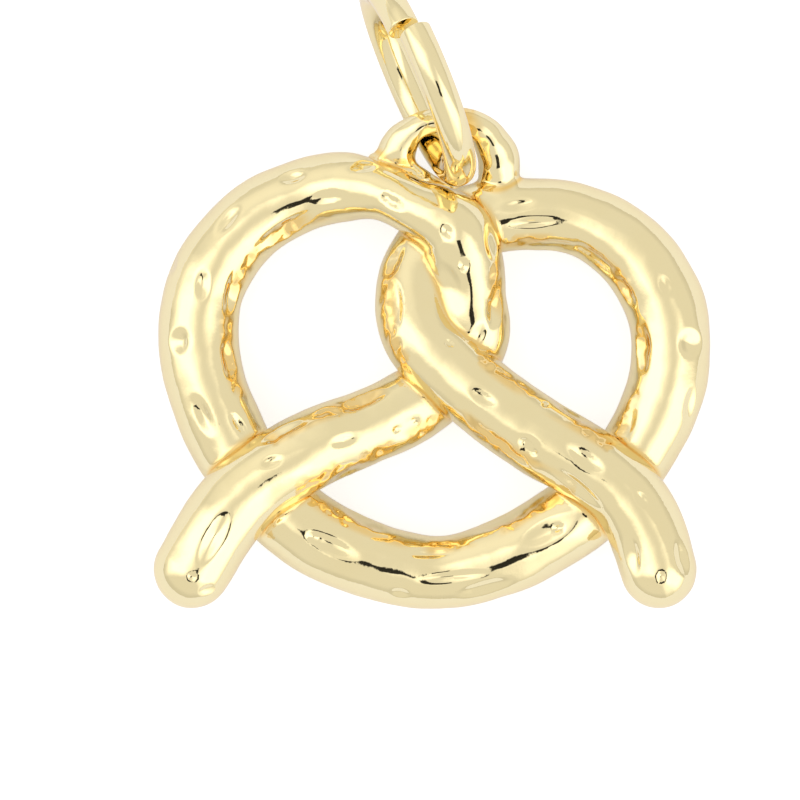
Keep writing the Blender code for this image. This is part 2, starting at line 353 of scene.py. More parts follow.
@dataclass
class RoundWire:
    """A wire of changing width along a smooth middle line, measured from any point in space.

    Attributes:
        points: Rows of x, y, z and width in mm that the middle line runs through.
        step: The distance from one row of the middle line to the next, in mm.
        rows: The middle line's rows, with the same columns.
        along: The wire's heading at each row.
        travel: The distance travelled along the wire at each row, in mm.
    """

    points: np.ndarray
    step: float = 0.05
    rows: np.ndarray = field(init=False)
    along: np.ndarray = field(init=False)
    travel: np.ndarray = field(init=False)

    def __post_init__(self) -> None:
        """Work out the middle line, its headings and the distance travelled along it."""
        self.rows = smooth_curve(self.points, self.step)
        heading = np.gradient(self.rows[:, :3], axis=0)
        self.along = heading / np.linalg.norm(heading, axis=1)[:, None]
        spans = np.linalg.norm(np.diff(self.rows[:, :3], axis=0), axis=1)
        self.travel = np.concatenate([[0.0], np.cumsum(spans)])

    def reach(
        self, places: np.ndarray, skip: np.ndarray | None = None, gap: float = 0.0
    ) -> tuple[np.ndarray, np.ndarray, np.ndarray]:
        """Measure how far places are outside the wire's skin.

        Args:
            places: Rows of x, y and z in mm.
            skip: For each place, a travelled distance whose surroundings are left out.
            gap: How much of the wire on each side of the skipped distance is left out, in mm.

        Returns:
            The distances, the outward directions and the travelled distances of the nearest rows.
        """
        apart = np.full(len(places), np.inf)
        outward = np.zeros((len(places), 3))
        outward[:, 2] = 1.0
        travelled = np.zeros(len(places))
        centers = self.rows[:, :3]
        for first in range(0, len(places), BATCH):
            part = slice(first, first + BATCH)
            offset = places[part, None, :] - centers[None, :, :]
            square = np.einsum("ijk,ijk->ij", offset, offset)
            if skip is not None:
                near = np.abs(self.travel[None, :] - skip[part, None]) < gap
                square = np.where(near, np.inf, square)
            nearest = np.argmin(square, axis=1)
            found = np.isfinite(square[np.arange(len(nearest)), nearest])
            line = places[part] - centers[nearest]
            slide = np.einsum("ij,ij->i", line, self.along[nearest])
            inside = (nearest > 0) & (nearest < len(centers) - 1)
            slide = np.where(inside, np.clip(slide, -self.step, self.step), 0.0)
            line = line - self.along[nearest] * slide[:, None]
            length = np.linalg.norm(line, axis=1)
            width = np.interp(self.travel[nearest] + slide, self.travel, self.rows[:, 3])
            apart[part] = np.where(found, length - width / 2, np.inf)
            outward[part] = line / np.maximum(length, TINY)[:, None]
            travelled[part] = self.travel[nearest] + slide
        return apart, outward, travelled


def fuse(
    one: np.ndarray, one_out: np.ndarray, other: np.ndarray, other_out: np.ndarray, fillet: float
) -> tuple[np.ndarray, np.ndarray]:
    """Join two measured skins with a soft fillet where they meet.

    Args:
        one: Distances outside the first skin.
        one_out: Outward directions of the first skin.
        other: Distances outside the other skin.
        other_out: Outward directions of the other skin.
        fillet: The fillet's size in mm.

    Returns:
        The distances outside the joined skin and its outward directions.
    """
    # Where there is no other skin, it counts as well outside the fillet's reach
    far = np.where(np.isfinite(other), other, one + 10 * fillet)
    share = np.clip(0.5 + 0.5 * (far - one) / fillet, 0.0, 1.0)
    joined = far * (1 - share) + one * share - fillet * share * (1 - share)
    return joined, other_out * (1 - share)[:, None] + one_out * share[:, None]


def add_ring(
    bm: bmesh.types.BMesh, row: np.ndarray, along: np.ndarray, sides: int
) -> list[bmesh.types.BMEdge]:
    """Add a circle of edges square across a wire's middle line.

    Args:
        bm: The mesh that the circle goes into.
        row: x, y, z and width of the wire there.
        along: The wire's heading there.
        sides: The circle's number of sides.

    Returns:
        The circle's edges.
    """
    heading = Vector(along)
    side = heading.cross(Vector((0.0, 0.0, 1.0))).normalized()
    turn = Matrix((side, side.cross(heading), heading)).transposed().to_4x4()
    ring = bmesh.ops.create_circle(
        bm,
        cap_ends=False,
        segments=sides,
        radius=row[3] / 2,
        matrix=Matrix.Translation(Vector(row[:3])) @ turn,
    )
    return list(dict.fromkeys(edge for vert in ring["verts"] for edge in vert.link_edges))


def add_tube(bm: bmesh.types.BMesh, wire: RoundWire, sides: int, every: int, end: WireEnd) -> None:
    """Add a closed tube along a wire.

    Args:
        bm: The mesh that the tube goes into.
        wire: The wire to follow.
        sides: The tube's number of sides.
        every: How many of the wire's rows lie from one ring of the tube to the next.
        end: How the tube is closed.
    """
    rows, along = list(wire.rows[::every]), list(wire.along[::every])
    if end is WireEnd.ROUND:
        for angle in np.radians(CAP_ANGLES):
            for at, way in ((0, -1), (-1, 1)):
                last, heading = wire.rows[at], wire.along[at]
                place = last[:3] + way * heading * last[3] / 2 * math.sin(angle)
                ring = np.append(place, last[3] * math.cos(angle))
                rows.insert(0 if way < 0 else len(rows), ring)
                along.insert(0 if way < 0 else len(along), heading)
    before: list[bmesh.types.BMEdge] = []
    for row, heading in zip(rows, along):
        edges = add_ring(bm, row, heading, sides)
        if before:
            bmesh.ops.bridge_loops(bm, edges=before + edges)
        before = edges
    open_edges = [edge for edge in bm.edges if edge.is_boundary]
    bmesh.ops.holes_fill(bm, edges=open_edges, sides=0)


def new_object(name: str, bm: bmesh.types.BMesh) -> bpy.types.Object:
    """Make a smooth shaded object of a mesh and free the mesh.

    Args:
        name: The object's name.
        bm: The finished mesh.

    Returns:
        The new object, linked to the scene.
    """
    bmesh.ops.recalc_face_normals(bm, faces=bm.faces)
    mesh = bpy.data.meshes.new(name)
    bm.to_mesh(mesh)
    bm.free()
    mesh.shade_smooth()
    obj = bpy.data.objects.new(name, mesh)
    bpy.context.scene.collection.objects.link(obj)
    return obj


@dataclass
class SkinReading:
    """What a skin's measuring tells of some places.

    Attributes:
        apart: How far the places are outside the skin, in mm.
        out: The outward directions.
        travelled: How far along the rope the places are, in mm.
        seam: How deep in a seam between two parts the places lie, from 0 to 1.
        loop: How much the places belong to the hanging loop, from 0 to 1.
    """

    apart: np.ndarray
    out: np.ndarray
    travelled: np.ndarray
    seam: np.ndarray
    loop: np.ndarray


@dataclass(frozen=True)
class GoldPlate:
    """Polished pale gold plating: its two tones, its gloss, and its fine marks.

    Attributes:
        tone: The plating's tone.
        deep_tone: Its tone in the deepest blotches.
        edge_tint: Its tint where it is seen at a slant.
        rough_low: The roughness between the blotches.
        rough_high: The roughness in the deepest blotches.
        blotch_scale: How fine the blotches are, per metre.
        blotch_detail: How many finer layers the blotches have.
        ripple_scale: How fine the polish's ripple is, per metre.
        ripple_detail: How many finer layers the ripple has.
        ripple_share: How much of the ripple's tilt is shown.
        ripple_depth: The ripple's depth in mm.
    """

    tone: Tone = (0.940, 0.810, 0.480)
    deep_tone: Tone = (0.925, 0.780, 0.430)
    edge_tint: Tone = (1.0, 0.93, 0.86)
    rough_low: float = 0.030
    rough_high: float = 0.070
    blotch_scale: float = 900.0
    blotch_detail: float = 3.0
    ripple_scale: float = 5200.0
    ripple_detail: float = 2.0
    ripple_share: float = 0.25
    ripple_depth: float = 0.010

    def build(self, name: str, painted_seam_shade: Tone | None = None) -> bpy.types.Material:
        """Make the plating's material.

        Args:
            name: The material's name.
            painted_seam_shade: The tone of the painted shade in the seams, an orange painted
                reflection of the gold's own walls, if any.

        Returns:
            The new material.
        """
        material = bpy.data.materials.new(name)
        material.use_nodes = True
        nodes, links = material.node_tree.nodes, material.node_tree.links
        shader = nodes["Principled BSDF"]
        shader.inputs["Metallic"].default_value = 1.0
        shader.inputs["Specular Tint"].default_value = (*self.edge_tint, 1.0)
        place = nodes.new("ShaderNodeTexCoord")
        blotch = self.add_noise(nodes, links, place, self.blotch_scale, self.blotch_detail)
        tones = nodes.new("ShaderNodeMix")
        tones.data_type = "RGBA"
        tones.inputs["A"].default_value = (*self.tone, 1.0)
        tones.inputs["B"].default_value = (*self.deep_tone, 1.0)
        links.new(blotch.outputs["Fac"], tones.inputs["Factor"])
        color = tones.outputs["Result"]
        # Painted shade in the seams, standing for the orange light that the gold throws onto itself
        if painted_seam_shade is not None:
            color = self.add_seam_shade(nodes, links, color, painted_seam_shade)
        links.new(color, shader.inputs["Base Color"])
        gloss = nodes.new("ShaderNodeMapRange")
        gloss.inputs["To Min"].default_value = self.rough_low
        gloss.inputs["To Max"].default_value = self.rough_high
        links.new(blotch.outputs["Fac"], gloss.inputs["Value"])
        links.new(gloss.outputs["Result"], shader.inputs["Roughness"])
        ripple = self.add_noise(nodes, links, place, self.ripple_scale, self.ripple_detail)
        bump = nodes.new("ShaderNodeBump")
        bump.inputs["Strength"].default_value = self.ripple_share
        bump.inputs["Distance"].default_value = self.ripple_depth * MM
        links.new(ripple.outputs["Fac"], bump.inputs["Height"])
        links.new(bump.outputs["Normal"], shader.inputs["Normal"])
        return material

    def add_seam_shade(self, nodes: Nodes, links: Links, color: Socket, painted_seam_shade: Tone) -> Socket:
        """Add the painted shade in the seams, an orange painted reflection of the gold's own walls,
        which the mesh marks with its attribute.

        Args:
            nodes: The material's nodes.
            links: The material's links.
            color: The plating's tone so far.
            painted_seam_shade: The tone of the painted shade in the seams.

        Returns:
            The tone with the painted shade in the seams.
        """
        # Painted shade: the attribute mixes in an orange tone that stands for the gold's reflection
        # of its own walls
        seams = nodes.new("ShaderNodeAttribute")
        seams.attribute_name = SEAM_SHADE
        shaded_seams = nodes.new("ShaderNodeMix")
        shaded_seams.data_type = "RGBA"
        shaded_seams.inputs["B"].default_value = (*painted_seam_shade, 1.0)
        links.new(seams.outputs["Fac"], shaded_seams.inputs["Factor"])
        links.new(color, shaded_seams.inputs["A"])
        return shaded_seams.outputs["Result"]

    def add_noise(
        self, nodes: Nodes, links: Links, place: bpy.types.Node, scale: float, detail: float
    ) -> bpy.types.Node:
        """Add a noise pattern on the object's own coordinates.

        Args:
            nodes: The material's nodes.
            links: The material's links.
            place: The texture coordinate node.
            scale: The pattern's scale, per metre.
            detail: How many finer layers the pattern has.

        Returns:
            The noise node.
        """
        pattern = nodes.new("ShaderNodeTexNoise")
        pattern.inputs["Scale"].default_value = scale
        pattern.inputs["Detail"].default_value = detail
        links.new(place.outputs["Object"], pattern.inputs["Vector"])
        return pattern


@dataclass
class CastSkin:
    """The casting's skin as measured from any point in space: rope, arch and foot, fused.

    Attributes:
        rope: The pretzel's rope.
        arch: The hanging loop's arch.
        foot: The bar at the arch's foot, with a flat top.
        strand_fillet: The fillet between two strands of the rope, in mm.
        loop_fillet: The fillet round the loop's arch, in mm.
        foot_fillet: The fillet round the loop's foot bar, in mm.
        strand_seam: How far the painted seam shade reaches between two strands, in mm.
        loop_seam: How far the painted seam shade reaches round the loop's arch, in mm.
        foot_seam: How far the painted seam shade reaches round the foot bar, in mm.
        loop_blend: How wide the change from the rope's relief to the loop's is, in mm.
        own_turn: How much of the rope counts as the same strand, in mm to each side.
        foot_top: The height of the foot bar's flat top, in mm.
    """

    rope: RoundWire
    arch: RoundWire
    foot: RoundWire
    strand_fillet: float = 0.16
    loop_fillet: float = 0.22
    foot_fillet: float = 0.07
    strand_seam: float = 0.22
    loop_seam: float = 0.16
    foot_seam: float = 0.06
    loop_blend: float = 0.2
    own_turn: float = 2.7
    foot_top: float = 1.62

    def measure(self, places: np.ndarray) -> SkinReading:
        """Measure places against the skin.

        Args:
            places: Rows of x, y and z in mm.

        Returns:
            The reading, one value or row for each place.
        """
        first, first_out, travelled = self.rope.reach(places)
        second, second_out, _ = self.rope.reach(places, travelled, self.own_turn)
        # How deep in a seam a place lies, which sets how much painted shade, the gold's orange
        # reflection of itself, it takes
        seam = 1 - soften_step(np.abs(second - first) / self.strand_seam)
        apart, out = fuse(first, first_out, second, second_out, self.strand_fillet)
        on_rope = apart.copy()
        arch, arch_out, _ = self.arch.reach(places)
        foot, foot_out, _ = self.foot.reach(places)
        above = places[:, 2] - self.foot_top
        foot_out = np.where((above > foot)[:, None], (0.0, 0.0, 1.0), foot_out)
        foot = np.maximum(foot, above)
        bars = (
            (foot, foot_out, self.foot_fillet, self.foot_seam),
            (arch, arch_out, self.loop_fillet, self.loop_seam),
        )
        for other, other_out, fillet, width in bars:
            seam = np.maximum(seam, 1 - soften_step(np.abs(other - apart) / width))
            apart, out = fuse(apart, out, other, other_out, fillet)
        loop = soften_step((on_rope - np.minimum(arch, foot)) / self.loop_blend + 0.5)
        return SkinReading(apart, out, travelled, seam, loop)


@dataclass
class PretzelCasting:
    """The cast charm: its smooth form, its hammered dents and its pitted inner walls.

    Attributes:
        back_flat: The height of the rope's middle line, as a share of its half width.
        rope_sides: The number of sides of the rope's tube.
        rope_rows: How many of the rope's rows lie from one ring of its tube to the next.
        arch_sides: The number of sides of the arch's tube.
        foot_sides: The number of sides of the foot bar's tube.
        loop_rows: The rows from ring to ring on the arch and the foot bar.
        voxel: The even skin's fineness, in mm.
        passes: How often the even skin is drawn onto the true shape.
        least_pull: The least square length of an outward direction that is trusted.
        wobble: The depth of the long wobble, in mm.
        wobble_length: The long wobble's length, in mm.
        fine_wobble: The depth of the short wobble, in mm.
        fine_length: The short wobble's length, in mm.
        loop_wobble: The depth of the hanging loop's wobble, in mm.
        loop_length: The length of the hanging loop's wobble, in mm.
        calm_share: How much of the long wobble the calm places lose.
        dent_spread: How much larger than its outline a dent's bowl is, squared.
        dent_deepening: How much deeper than listed a dent is pressed.
        dent_strand: How far along the rope a dent can reach, in mm to each side.
        pit_depth: The pits' depth, in mm.
        pit_length: The pits' length, in mm.
        pit_patch: The length of the patches that are pitted, in mm.
        pit_tilts: The slants between which a wall is pitted, from 0 facing up to 1 facing sideways.
        pit_fades: How wide the fade at each of these slants is.
        pit_facing: How squarely a wall has to face a hole to be fully pitted.
        pit_contrast: How sharply the pitted patches end.
        pit_cover: How much of the walls the patches cover, before the contrast.
        pit_painted_shade: How much of the painted seam shade the pitted patches take.
        painted_seam_shade: The tone of the painted shade in the seams and the pits, an orange
            painted reflection of the gold's own walls.
        finish: The plating.
    """

    back_flat: float = 0.95
    rope_sides: int = 28
    rope_rows: int = 4
    arch_sides: int = 20
    foot_sides: int = 16
    loop_rows: int = 3
    voxel: float = 0.077
    passes: int = 3
    least_pull: float = 0.2
    wobble: float = 0.034
    wobble_length: float = 1.15
    fine_wobble: float = 0.007
    fine_length: float = 0.42
    loop_wobble: float = 0.035
    loop_length: float = 0.5
    calm_share: float = 0.85
    dent_spread: float = 1.5
    dent_deepening: float = 1.55
    dent_strand: float = 2.0
    pit_depth: float = 0.062
    pit_length: float = 0.26
    pit_patch: float = 0.9
    pit_tilts: tuple[float, float] = (0.48, 0.93)
    pit_fades: tuple[float, float] = (0.16, 0.12)
    pit_facing: float = 0.3
    pit_contrast: float = 2.2
    pit_cover: float = 0.75
    # The pitted walls that face a hole take painted shade, standing for the orange reflection of
    # the opposite wall
    pit_painted_shade: float = 0.75
    painted_seam_shade: Tone = (0.93, 0.62, 0.20)
    finish: GoldPlate = field(default_factory=GoldPlate)

    def build(self) -> bpy.types.Object:
        """Build the casting.

        Returns:
            The finished object.
        """
        stations = [(s.x, s.y, self.back_flat * s.width / 2 + s.lift, s.width) for s in ROPE]
        skin = CastSkin(
            rope=RoundWire(np.array(stations)),
            arch=RoundWire(np.array(LOOP_ARCH)),
            foot=RoundWire(np.array(LOOP_FOOT)),
        )
        bm = bmesh.new()
        add_tube(bm, skin.rope, self.rope_sides, self.rope_rows, WireEnd.ROUND)
        add_tube(bm, skin.arch, self.arch_sides, self.loop_rows, WireEnd.FLAT)
        add_tube(bm, skin.foot, self.foot_sides, self.loop_rows, WireEnd.FLAT)
        casting = new_object("pretzel_casting", bm)
        self.fuse_tubes(casting)
        self.shape_skin(casting.data, skin)
        # The casting's material paints an orange shade into its seams and pitted walls, standing
        # for the gold's reflection of itself
        casting.data.materials.append(self.finish.build("gold_casting", self.painted_seam_shade))
        return casting

    def fuse_tubes(self, obj: bpy.types.Object) -> None:
        """Make one even skin of the overlapping tubes.

        Args:
            obj: The object whose mesh is replaced.
        """
        remesh = obj.modifiers.new("one skin", "REMESH")
        remesh.mode = "VOXEL"
        remesh.voxel_size = self.voxel
        graph = bpy.context.evaluated_depsgraph_get()
        skin = bpy.data.meshes.new_from_object(obj.evaluated_get(graph))
        obj.modifiers.clear()
        obj.data = skin
        obj.data.name = obj.name

    def shape_skin(self, mesh: bpy.types.Mesh, skin: CastSkin) -> None:
        """Draw the even skin onto the true shape, then press the relief into it.

        Args:
            mesh: The mesh whose vertices move.
            skin: The true shape.
        """
        places = np.empty(len(mesh.vertices) * 3)
        mesh.vertices.foreach_get("co", places)
        places = places.reshape(-1, 3)
        for _ in range(self.passes):
            reading = skin.measure(places)
            size = np.einsum("ij,ij->i", reading.out, reading.out)
            places -= reading.out * (reading.apart / np.maximum(size, self.least_pull))[:, None]
        length = np.linalg.norm(reading.out, axis=1)
        reading.out /= np.maximum(length, TINY)[:, None]
        pits = self.pit_shares(places, reading)
        inward = self.dent_depths(places, reading, skin.rope) + self.wobble_depths(places, reading)
        inward += self.pit_depth * pits * self.sample_noise(places, self.pit_length, Pattern.PITS)
        places -= reading.out * inward[:, None]
        places[:, 2] = np.maximum(places[:, 2], 0.0)
        mesh.vertices.foreach_set("co", (places * MM).ravel())
        # The attribute holds the painted shade: the seams, and the pitted walls that face a hole
        seam = np.maximum(reading.seam, self.pit_painted_shade * pits)
        mesh.attributes.new(SEAM_SHADE, "FLOAT", "POINT").data.foreach_set("value", seam)
        mesh.shade_smooth()
        mesh.update()

    def sample_noise(self, places: np.ndarray, length: float, pattern: Pattern) -> np.ndarray:
        """Return a noise pattern at places, with a length scale in mm, about -1 to 1."""
        rows = places / length + pattern.value
        return np.array([noise.noise(Vector(row)) for row in rows])

    def wobble_depths(self, places: np.ndarray, reading: SkinReading) -> np.ndarray:
        """Work out the long and short wobble of a hand-worked surface.

        Args:
            places: Rows of x, y and z in mm.
            reading: The skin's reading there.

        Returns:
            How far inwards each place goes, in mm.
        """
        lively = np.ones(len(places))
        for calm in CALM_PLACES:
            offset = np.hypot(places[:, 0] - calm.x, places[:, 1] - calm.y)
            lively *= 1 - self.calm_share * (1 - soften_step(offset / calm.reach))
        long = self.sample_noise(places, self.wobble_length, Pattern.LONG_WOBBLE)
        long = self.wobble * lively * long
        short = self.sample_noise(places, self.fine_length, Pattern.SHORT_WOBBLE)
        short = self.fine_wobble * short
        loop = self.sample_noise(places, self.loop_length, Pattern.LOOP_WOBBLE)
        loop = self.loop_wobble * loop
        return long * (1 - reading.loop) + short + loop * reading.loop

    def pit_shares(self, places: np.ndarray, reading: SkinReading) -> np.ndarray:
        """Work out how pitted the steep walls that face a hole are, in patches.

        Args:
            places: Rows of x, y and z in mm.
            reading: The skin's reading there.

        Returns:
            How pitted each place is, from 0 to 1.
        """
        tilt = np.hypot(reading.out[:, 0], reading.out[:, 1])
        (low, high), (low_fade, high_fade) = self.pit_tilts, self.pit_fades
        steep = soften_step((tilt - low) / low_fade) * soften_step((high - tilt) / high_fade)
        steep *= reading.out[:, 2] > 0
        facing = np.zeros(len(places))
        for hole in HOLES:
            dx, dy = places[:, 0] - hole.x, places[:, 1] - hole.y
            inside = (dx / hole.half_width) ** 2 + (dy / hole.half_height) ** 2
            turned = -(dx * reading.out[:, 0] + dy * reading.out[:, 1]) / np.hypot(dx, dy)
            facing = np.maximum(facing, (inside < 1) * soften_step(turned / self.pit_facing))
        patch = self.sample_noise(places, self.pit_patch, Pattern.PIT_PATCHES)
        patch = soften_step(patch * self.pit_contrast + self.pit_cover)
        return steep * facing * patch * (1 - reading.loop)

    def dent_depths(self, places: np.ndarray, reading: SkinReading, rope: RoundWire) -> np.ndarray:
        """Work out how deep the dents press in the skin, on the strand that they are seen on.

        Args:
            places: Rows of x, y and z in mm.
            reading: The skin's reading there.
            rope: The rope.

        Returns:
            How far inwards each place goes, in mm.
        """
        depths = np.zeros(len(places))
        # The dents fade out where the skin turns over to the back
        upper = soften_step(reading.out[:, 2] / 0.25 + 0.4)
        for dent in DENTS:
            # Home is the highest strand under the dent, at the row that is nearest to it
            offset = np.hypot(rope.rows[:, 0] - dent.x, rope.rows[:, 1] - dent.y)
            height = np.where(offset < rope.rows[:, 3] / 2, rope.rows[:, 2] - 2 * offset, -np.inf)
            home = rope.travel[np.argmax(height)]
            turn = math.radians(dent.turn)
            dx, dy = places[:, 0] - dent.x, places[:, 1] - dent.y
            along = (dx * math.cos(turn) + dy * math.sin(turn)) * 2 / dent.length
            across = (dy * math.cos(turn) - dx * math.sin(turn)) * 2 / dent.width
            bowl = np.clip(1 - (along**2 + across**2) / self.dent_spread, 0.0, None) ** 2
            same_strand = np.abs(reading.travelled - home) < self.dent_strand
            pressed = self.dent_deepening * dent.depth * bowl
            depths += np.where(same_strand, pressed, 0.0) * upper
        return depths


@dataclass
class JumpRing:
    """The split ring of round wire, threaded through the hanging loop.

    Attributes:
        wire: The wire's width, in mm.
        radius: The ring's radius to the middle of its wire, in mm.
        heading: Where the ring points to, in degrees from +X towards +Y.
        lean: How far the ring leans out of the upright, in degrees.
        loop_wire: The width of the loop's wire that the ring hangs on, in mm.
        clearance: The play between the two wires, in mm.
        cut_angle: How far round the ring, from level, its cut is, in degrees.
        cut_gap: The cut's width, in mm.
        cut_offset: How far the cut's ends stand apart sideways, in mm.
        cut_rounding: The rounding of the cut's edges, in mm.
        cut_segments: How many faces the rounding has.
        sides: The number of sides of the wire.
        steps: The number of rings of faces round the jump ring.
        finish: The plating.
    """

    wire: float = 0.88
    radius: float = 2.71
    heading: float = 113.0
    lean: float = 6.7
    loop_wire: float = 0.68
    clearance: float = 0.09
    cut_angle: float = 63.0
    cut_gap: float = 0.20
    cut_offset: float = -0.24
    cut_rounding: float = 0.035
    cut_segments: int = 3
    sides: int = 56
    steps: int = 260
    finish: GoldPlate = field(default_factory=GoldPlate)

    def place(self, hinge: Vector, reach: float) -> tuple[Matrix, float]:
        """Work out where the ring stands.

        Args:
            hinge: The middle of the loop's wire, in mm.
            reach: The distance from there to the ring's middle, in mm.

        Returns:
            The matrix with +X to the ring's middle and +Z along the hinge, and the climb's angle.
        """
        heading, lean = math.radians(self.heading), math.radians(self.lean)
        outward = Vector((math.cos(heading), math.sin(heading), 0.0))
        sideways = Vector((math.sin(heading), -math.cos(heading), 0.0))
        upward = sideways * math.sin(lean) + Vector((0.0, 0.0, math.cos(lean)))
        normal = outward.cross(upward)
        climb = (self.radius + self.wire / 2 / math.cos(lean)) - hinge.z / math.cos(lean)
        run = math.sqrt(reach**2 - climb**2)
        to_middle = (outward * run + upward * climb).normalized()
        turn = Matrix((to_middle, normal.cross(to_middle), normal)).transposed().to_4x4()
        return Matrix.Translation(hinge) @ turn, math.atan2(climb, run)

    def build(self, joint: dict) -> bpy.types.Object:
        """Build the ring on its hinge.

        Args:
            joint: The frame's joint that the ring swings on.

        Returns:
            The finished object.
        """
        hinge = Vector(joint["pos_m"]) / MM
        reach = self.radius - self.wire / 2 - self.loop_wire / 2 - self.clearance
        place, climb = self.place(hinge, reach)
        middle = Vector((reach, 0.0, 0.0))
        gap = self.cut_gap / self.radius
        start = math.radians(self.cut_angle) - climb + gap / 2
        bm = bmesh.new()
        circle = bmesh.ops.create_circle(
            bm,
            cap_ends=True,
            segments=self.sides,
            radius=self.wire / 2,
            matrix=Matrix.Translation(middle)
            @ Matrix.Rotation(start, 4, "Z")
            @ Matrix.Translation((self.radius, 0.0, -self.cut_offset / 2))
            @ Matrix.Rotation(math.pi / 2, 4, "X"),
        )["verts"]
        bmesh.ops.spin(
            bm,
            geom=circle + bm.edges[:] + bm.faces[:],
            cent=middle,
            axis=(0.0, 0.0, 1.0),
            dvec=(0.0, 0.0, self.cut_offset / self.steps),
            angle=2 * math.pi - gap,
            steps=self.steps,
        )
        caps = [face for face in bm.faces if len(face.verts) == self.sides]
        rims = list(dict.fromkeys(edge for face in caps for edge in face.edges))
        bmesh.ops.bevel(
            bm,
            geom=rims,
            offset=self.cut_rounding,
            segments=self.cut_segments,
            profile=0.5,
            affect="EDGES",
            material=-1,
        )
        bm.transform(Matrix.Scale(MM, 4) @ place)
        ring = new_object("jump_ring_wire", bm)
        ring.data.materials.append(self.finish.build("gold_wire"))
        return ring


@dataclass(frozen=True)
class SoftPanel:
    """A panel of the studio's tent: where it hangs, how large and soft it is, and its glow.

    Attributes:
        off_top: How far from straight up its middle hangs, in degrees.
        bearing: Where its middle hangs, in degrees from +X towards +Y.
        half_depth: Half its size from the top down, in degrees.
        half_width: Half its size sideways, in degrees.
        softness: How soft its edges are, as a share of its half sizes.
        glow: How much it adds to the tent's glow, or what share a dark one takes.
        tone: Whether it is light or dark.
    """

    off_top: float
    bearing: float
    half_depth: float
    half_width: float
    softness: float
    glow: float
    tone: PanelTone = PanelTone.LIGHT

    def axes(self) -> tuple[Vector, Vector]:
        """Work out the panel's two directions.

        Returns:
            The direction towards the table and the one sideways.
        """
        tilt, bearing = math.radians(self.off_top), math.radians(self.bearing)
        flat = Vector((math.cos(bearing), math.sin(bearing), 0.0))
        down = flat * math.cos(tilt) - Vector((0.0, 0.0, math.sin(tilt)))
        return down, Vector((-math.sin(bearing), math.cos(bearing), 0.0))


PANELS = (
    SoftPanel(42.0, 173.0, 29.0, 17.0, 0.55, 0.95),
    SoftPanel(50.0, 118.0, 22.0, 14.0, 0.80, 0.18),
    SoftPanel(54.0, -31.0, 30.0, 17.0, 0.45, 0.90),
    SoftPanel(60.0, -60.0, 24.0, 9.0, 0.70, 0.40),
    SoftPanel(19.0, -81.0, 7.8, 6.6, 0.18, 0.97, PanelTone.DARK),
)


